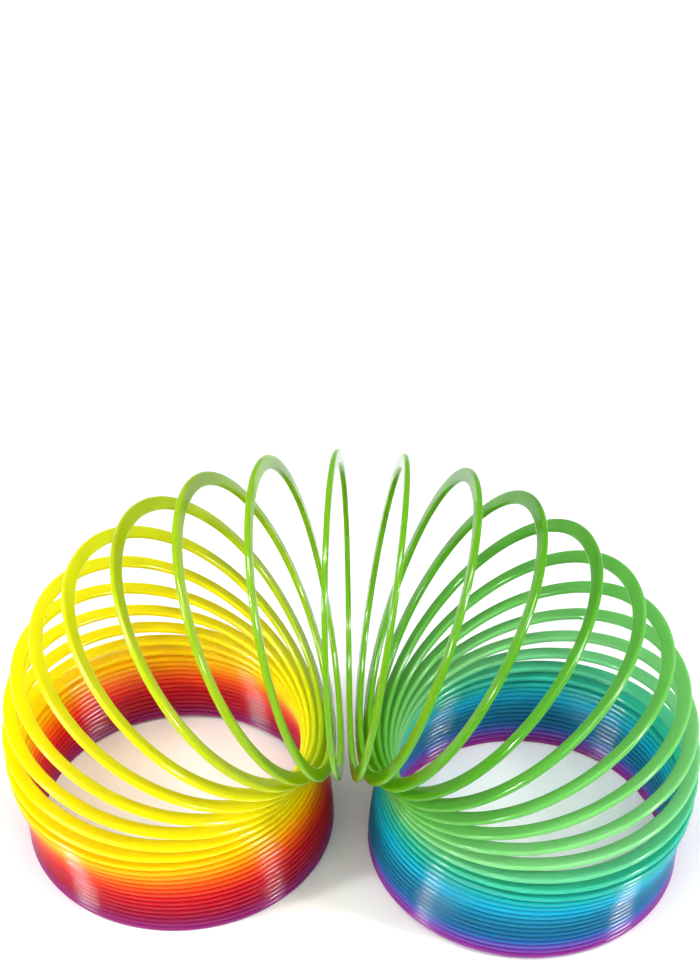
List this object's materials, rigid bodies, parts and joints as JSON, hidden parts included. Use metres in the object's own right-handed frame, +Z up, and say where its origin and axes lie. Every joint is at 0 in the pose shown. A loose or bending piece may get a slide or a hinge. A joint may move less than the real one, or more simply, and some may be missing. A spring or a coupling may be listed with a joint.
{
  "type": "spring coil toy",
  "caption": "Rainbow plastic spring coil toy standing bent into an arch on both of its feet, its turns fanned out over the crown.",
  "frame": {"origin": "middle of the footprint on the ground, below the crown of the arch", "axes": "+Z up, +X from the left foot (violet end) to the right foot (pink end), -Y the near side of the arch"},
  "size_m": [0.1653, 0.0853, 0.1107],
  "materials": {
    "violet": "gloss",
    "magenta": "gloss",
    "crimson": "gloss",
    "red": "gloss",
    "vermilion": "gloss",
    "orange": "gloss",
    "yellow": "gloss",
    "lemon": "gloss",
    "lime": "gloss",
    "green": "gloss",
    "mint": "gloss",
    "teal": "gloss",
    "azure": "gloss",
    "blue": "gloss",
    "indigo": "gloss",
    "pink": "gloss"
  },
  "bodies": {
    "turn_01": {"turn_01": "violet"},
    "turn_02": {"turn_02": "magenta"},
    "turn_03": {"turn_03": "magenta"},
    "turn_04": {"turn_04": "crimson"},
    "turn_05": {"turn_05": "crimson"},
    "turn_06": {"turn_06": "crimson"},
    "turn_07": {"turn_07": "red"},
    "turn_08": {"turn_08": "red"},
    "turn_09": {"turn_09": "vermilion"},
    "turn_10": {"turn_10": "vermilion"},
    "turn_11": {"turn_11": "vermilion"},
    "turn_12": {"turn_12": "orange"},
    "turn_13": {"turn_13": "orange"},
    "turn_14": {"turn_14": "orange"},
    "turn_15": {"turn_15": "yellow"},
    "turn_16": {"turn_16": "yellow"},
    "turn_17": {"turn_17": "yellow"},
    "turn_18": {"turn_18": "yellow"},
    "turn_19": {"turn_19": "lemon"},
    "turn_20": {"turn_20": "lemon"},
    "turn_21": {"turn_21": "lemon"},
    "turn_22": {"turn_22": "lemon"},
    "turn_23": {"turn_23": "lime"},
    "turn_24": {"turn_24": "lime"},
    "turn_25": {"turn_25": "lime"},
    "turn_26": {"turn_26": "lime"},
    "turn_27": {"turn_27": "green"},
    "turn_28": {"turn_28": "green"},
    "turn_29": {"turn_29": "green"},
    "turn_30": {"turn_30": "green"},
    "turn_31": {"turn_31": "green"},
    "turn_32": {"turn_32": "mint"},
    "turn_33": {"turn_33": "mint"},
    "turn_34": {"turn_34": "mint"},
    "turn_35": {"turn_35": "mint"},
    "turn_36": {"turn_36": "teal"},
    "turn_37": {"turn_37": "teal"},
    "turn_38": {"turn_38": "teal"},
    "turn_39": {"turn_39": "azure"},
    "turn_40": {"turn_40": "azure"},
    "turn_41": {"turn_41": "azure"},
    "turn_42": {"turn_42": "azure"},
    "turn_43": {"turn_43": "azure"},
    "turn_44": {"turn_44": "blue"},
    "turn_45": {"turn_45": "blue"},
    "turn_46": {"turn_46": "blue"},
    "turn_47": {"turn_47": "indigo"},
    "turn_48": {"turn_48": "indigo"},
    "turn_49": {"turn_49": "pink"},
    "turn_50": {"turn_50": "pink"}
  },
  "joints": [
    {"name": "stretch", "type": "slide", "parent": "turn_01", "child": "turn_02", "axis": [0, 0, 1], "range_m": [0, 0.007]},
    {"name": "left_pile_02", "type": "slide", "parent": "turn_02", "child": "turn_03", "axis": [0, 0, 1], "range_m": [0, 0.007]},
    {"name": "left_pile_03", "type": "slide", "parent": "turn_03", "child": "turn_04", "axis": [0, 0, 1], "range_m": [0, 0.007]},
    {"name": "left_pile_04", "type": "slide", "parent": "turn_04", "child": "turn_05", "axis": [0, 0, 1], "range_m": [0, 0.007]},
    {"name": "left_pile_05", "type": "slide", "parent": "turn_05", "child": "turn_06", "axis": [0, 0, 1], "range_m": [0, 0.007]},
    {"name": "left_pile_06", "type": "slide", "parent": "turn_06", "child": "turn_07", "axis": [0, 0, 1], "range_m": [0, 0.007]},
    {"name": "left_pile_07", "type": "slide", "parent": "turn_07", "child": "turn_08", "axis": [0, 0, 1], "range_m": [0, 0.007]},
    {"name": "left_pile_08", "type": "slide", "parent": "turn_08", "child": "turn_09", "axis": [0, 0, 1], "range_m": [0, 0.007]},
    {"name": "left_pile_09", "type": "slide", "parent": "turn_09", "child": "turn_10", "axis": [0, 0, 1], "range_m": [0, 0.007]},
    {"name": "left_pile_10", "type": "slide", "parent": "turn_10", "child": "turn_11", "axis": [0, 0, 1], "range_m": [0, 0.007]},
    {"name": "left_pile_11", "type": "slide", "parent": "turn_11", "child": "turn_12", "axis": [0, 0, 1], "range_m": [0, 0.007]},
    {"name": "left_pile_12", "type": "slide", "parent": "turn_12", "child": "turn_13", "axis": [0, 0, 1], "range_m": [0, 0.007]},
    {"name": "left_pile_13", "type": "slide", "parent": "turn_13", "child": "turn_14", "axis": [0, 0, 1], "range_m": [0, 0.007]},
    {"name": "left_fan_14", "type": "hinge", "parent": "turn_14", "child": "turn_15", "pos_m": [0.00098, 0.00604, 0.01809], "axis": [0.0017, -0.9465, -0.3226], "range_deg": [0, 0.6299]},
    {"name": "left_fan_15", "type": "hinge", "parent": "turn_15", "child": "turn_16", "pos_m": [-0.00401, 0.00508, 0.02107], "axis": [-0.0041, -0.9784, -0.2068], "range_deg": [0, 2.3]},
    {"name": "left_fan_16", "type": "hinge", "parent": "turn_16", "child": "turn_17", "pos_m": [-0.00527, 0.00455, 0.0229], "axis": [-0.0134, -0.9835, -0.1807], "range_deg": [0, 4.04]},
    {"name": "left_fan_17", "type": "hinge", "parent": "turn_17", "child": "turn_18", "pos_m": [-0.00602, 0.00388, 0.02473], "axis": [-0.0262, -0.9862, -0.1632], "range_deg": [0, 5.87]},
    {"name": "left_fan_18", "type": "hinge", "parent": "turn_18", "child": "turn_19", "pos_m": [-0.00641, 0.00306, 0.02665], "axis": [-0.0415, -0.9884, -0.1463], "range_deg": [0, 7.76]},
    {"name": "left_fan_19", "type": "hinge", "parent": "turn_19", "child": "turn_20", "pos_m": [-0.00636, 0.00213, 0.02857], "axis": [-0.0583, -0.99, -0.1286], "range_deg": [0, 9.53]},
    {"name": "left_fan_20", "type": "hinge", "parent": "turn_20", "child": "turn_21", "pos_m": [-0.0058, 0.00111, 0.03035], "axis": [-0.0755, -0.9911, -0.1098], "range_deg": [0, 10.87]},
    {"name": "left_fan_21", "type": "hinge", "parent": "turn_21", "child": "turn_22", "pos_m": [-0.00479, 0.00007, 0.0318], "axis": [-0.0911, -0.9919, -0.089], "range_deg": [0, 11.61]},
    {"name": "left_fan_22", "type": "hinge", "parent": "turn_22", "child": "turn_23", "pos_m": [-0.00352, -0.00096, 0.03281], "axis": [-0.1014, -0.9927, -0.0651], "range_deg": [0, 11.89]},
    {"name": "left_fan_23", "type": "hinge", "parent": "turn_23", "child": "turn_24", "pos_m": [-0.00222, -0.00189, 0.03341], "axis": [-0.1024, -0.994, -0.0389], "range_deg": [0, 12.04]},
    {"name": "left_shoulder", "type": "hinge", "parent": "turn_24", "child": "turn_25", "pos_m": [-0.001, -0.00272, 0.03379], "axis": [-0.0933, -0.9955, -0.0143], "range_deg": [0, 12.2]},
    {"name": "right_fan_25", "type": "hinge", "parent": "turn_25", "child": "turn_26", "pos_m": [0.00018, -0.00339, 0.03377], "axis": [-0.0778, -0.997, 0.0042], "range_deg": [0, 11.55]},
    {"name": "right_fan_26", "type": "hinge", "parent": "turn_26", "child": "turn_27", "pos_m": [0.00129, -0.00391, 0.03361], "axis": [-0.06, -0.9981, 0.0155], "range_deg": [0, 11.25]},
    {"name": "right_fan_27", "type": "hinge", "parent": "turn_27", "child": "turn_28", "pos_m": [0.00244, -0.00432, 0.03324], "axis": [-0.0421, -0.9989, 0.0202], "range_deg": [0, 11.09]},
    {"name": "right_fan_28", "type": "hinge", "parent": "turn_28", "child": "turn_29", "pos_m": [0.00364, -0.00462, 0.03259], "axis": [-0.0266, -0.9995, 0.0197], "range_deg": [0, 10.91]},
    {"name": "right_fan_29", "type": "hinge", "parent": "turn_29", "child": "turn_30", "pos_m": [0.00479, -0.00483, 0.03156], "axis": [-0.015, -0.9998, 0.0163], "range_deg": [0, 10.55]},
    {"name": "right_shoulder", "type": "hinge", "parent": "turn_30", "child": "turn_31", "pos_m": [0.0057, -0.00496, 0.03014], "axis": [-0.0077, -0.9999, 0.012], "range_deg": [0, 9.79]},
    {"name": "right_fan_31", "type": "hinge", "parent": "turn_31", "child": "turn_32", "pos_m": [0.00622, -0.00503, 0.02842], "axis": [-0.0035, -1, 0.0082], "range_deg": [0, 8.56]},
    {"name": "right_fan_32", "type": "hinge", "parent": "turn_32", "child": "turn_33", "pos_m": [0.00629, -0.00507, 0.02656], "axis": [-0.0014, -1, 0.0052], "range_deg": [0, 7.04]},
    {"name": "right_fan_33", "type": "hinge", "parent": "turn_33", "child": "turn_34", "pos_m": [0.00599, -0.00509, 0.02469], "axis": [-0.0005, -1, 0.0032], "range_deg": [0, 5.43]},
    {"name": "right_fan_34", "type": "hinge", "parent": "turn_34", "child": "turn_35", "pos_m": [0.00537, -0.0051, 0.02288], "axis": [-0.0002, -1, 0.0021], "range_deg": [0, 3.87]},
    {"name": "right_fan_35", "type": "hinge", "parent": "turn_35", "child": "turn_36", "pos_m": [0.00437, -0.0051, 0.02107], "axis": [0, -1, 0.0017], "range_deg": [0, 2.37]},
    {"name": "right_fan_36", "type": "hinge", "parent": "turn_36", "child": "turn_37", "pos_m": [0.00179, -0.0051, 0.01867], "axis": [0, -1, 0.002], "range_deg": [0, 0.9243]},
    {"name": "right_pile_37", "type": "slide", "parent": "turn_37", "child": "turn_38", "axis": [0, 0, -1], "range_m": [0, 0.007]},
    {"name": "right_pile_38", "type": "slide", "parent": "turn_38", "child": "turn_39", "axis": [0, 0, -1], "range_m": [0, 0.007]},
    {"name": "right_pile_39", "type": "slide", "parent": "turn_39", "child": "turn_40", "axis": [0, 0, -1], "range_m": [0, 0.007]},
    {"name": "right_pile_40", "type": "slide", "parent": "turn_40", "child": "turn_41", "axis": [0, 0, -1], "range_m": [0, 0.007]},
    {"name": "right_pile_41", "type": "slide", "parent": "turn_41", "child": "turn_42", "axis": [0, 0, -1], "range_m": [0, 0.007]},
    {"name": "right_pile_42", "type": "slide", "parent": "turn_42", "child": "turn_43", "axis": [0, 0, -1], "range_m": [0, 0.007]},
    {"name": "right_pile_43", "type": "slide", "parent": "turn_43", "child": "turn_44", "axis": [0, 0, -1], "range_m": [0, 0.007]},
    {"name": "right_pile_44", "type": "slide", "parent": "turn_44", "child": "turn_45", "axis": [0, 0, -1], "range_m": [0, 0.007]},
    {"name": "right_pile_45", "type": "slide", "parent": "turn_45", "child": "turn_46", "axis": [0, 0, -1], "range_m": [0, 0.007]},
    {"name": "right_pile_46", "type": "slide", "parent": "turn_46", "child": "turn_47", "axis": [0, 0, -1], "range_m": [0, 0.007]},
    {"name": "right_pile_47", "type": "slide", "parent": "turn_47", "child": "turn_48", "axis": [0, 0, -1], "range_m": [0, 0.007]},
    {"name": "right_pile_48", "type": "slide", "parent": "turn_48", "child": "turn_49", "axis": [0, 0, -1], "range_m": [0, 0.007]},
    {"name": "right_pile_49", "type": "slide", "parent": "turn_49", "child": "turn_50", "axis": [0, 0, -1], "range_m": [0, 0.007]}
  ],
  "couplings": [
    {"joint": "left_pile_02", "follows": "stretch", "ratio": 1},
    {"joint": "left_pile_03", "follows": "stretch", "ratio": 1},
    {"joint": "left_pile_04", "follows": "stretch", "ratio": 1},
    {"joint": "left_pile_05", "follows": "stretch", "ratio": 1},
    {"joint": "left_pile_06", "follows": "stretch", "ratio": 1},
    {"joint": "left_pile_07", "follows": "stretch", "ratio": 1},
    {"joint": "left_pile_08", "follows": "stretch", "ratio": 1},
    {"joint": "left_pile_09", "follows": "stretch", "ratio": 1},
    {"joint": "left_pile_10", "follows": "stretch", "ratio": 1},
    {"joint": "left_pile_11", "follows": "stretch", "ratio": 1},
    {"joint": "left_pile_12", "follows": "stretch", "ratio": 1},
    {"joint": "left_pile_13", "follows": "stretch", "ratio": 1},
    {"joint": "left_fan_14", "follows": "left_shoulder", "ratio": 0.051608},
    {"joint": "left_fan_15", "follows": "left_shoulder", "ratio": 0.18878},
    {"joint": "left_fan_16", "follows": "left_shoulder", "ratio": 0.33134},
    {"joint": "left_fan_17", "follows": "left_shoulder", "ratio": 0.48141},
    {"joint": "left_fan_18", "follows": "left_shoulder", "ratio": 0.63642},
    {"joint": "left_fan_19", "follows": "left_shoulder", "ratio": 0.78134},
    {"joint": "left_fan_20", "follows": "left_shoulder", "ratio": 0.89169},
    {"joint": "left_fan_21", "follows": "left_shoulder", "ratio": 0.95234},
    {"joint": "left_fan_22", "follows": "left_shoulder", "ratio": 0.97514},
    {"joint": "left_fan_23", "follows": "left_shoulder", "ratio": 0.98707},
    {"joint": "right_fan_25", "follows": "right_shoulder", "ratio": 1.1803},
    {"joint": "right_fan_26", "follows": "right_shoulder", "ratio": 1.1499},
    {"joint": "right_fan_27", "follows": "right_shoulder", "ratio": 1.1329},
    {"joint": "right_fan_28", "follows": "right_shoulder", "ratio": 1.115},
    {"joint": "right_fan_29", "follows": "right_shoulder", "ratio": 1.0785},
    {"joint": "right_fan_31", "follows": "right_shoulder", "ratio": 0.87471},
    {"joint": "right_fan_32", "follows": "right_shoulder", "ratio": 0.7191},
    {"joint": "right_fan_33", "follows": "right_shoulder", "ratio": 0.5549},
    {"joint": "right_fan_34", "follows": "right_shoulder", "ratio": 0.39521},
    {"joint": "right_fan_35", "follows": "right_shoulder", "ratio": 0.24261},
    {"joint": "right_fan_36", "follows": "right_shoulder", "ratio": 0.094393},
    {"joint": "right_pile_37", "follows": "stretch", "ratio": 1},
    {"joint": "right_pile_38", "follows": "stretch", "ratio": 1},
    {"joint": "right_pile_39", "follows": "stretch", "ratio": 1},
    {"joint": "right_pile_40", "follows": "stretch", "ratio": 1},
    {"joint": "right_pile_41", "follows": "stretch", "ratio": 1},
    {"joint": "right_pile_42", "follows": "stretch", "ratio": 1},
    {"joint": "right_pile_43", "follows": "stretch", "ratio": 1},
    {"joint": "right_pile_44", "follows": "stretch", "ratio": 1},
    {"joint": "right_pile_45", "follows": "stretch", "ratio": 1},
    {"joint": "right_pile_46", "follows": "stretch", "ratio": 1},
    {"joint": "right_pile_47", "follows": "stretch", "ratio": 1},
    {"joint": "right_pile_48", "follows": "stretch", "ratio": 1},
    {"joint": "right_pile_49", "follows": "stretch", "ratio": 1}
  ]
}
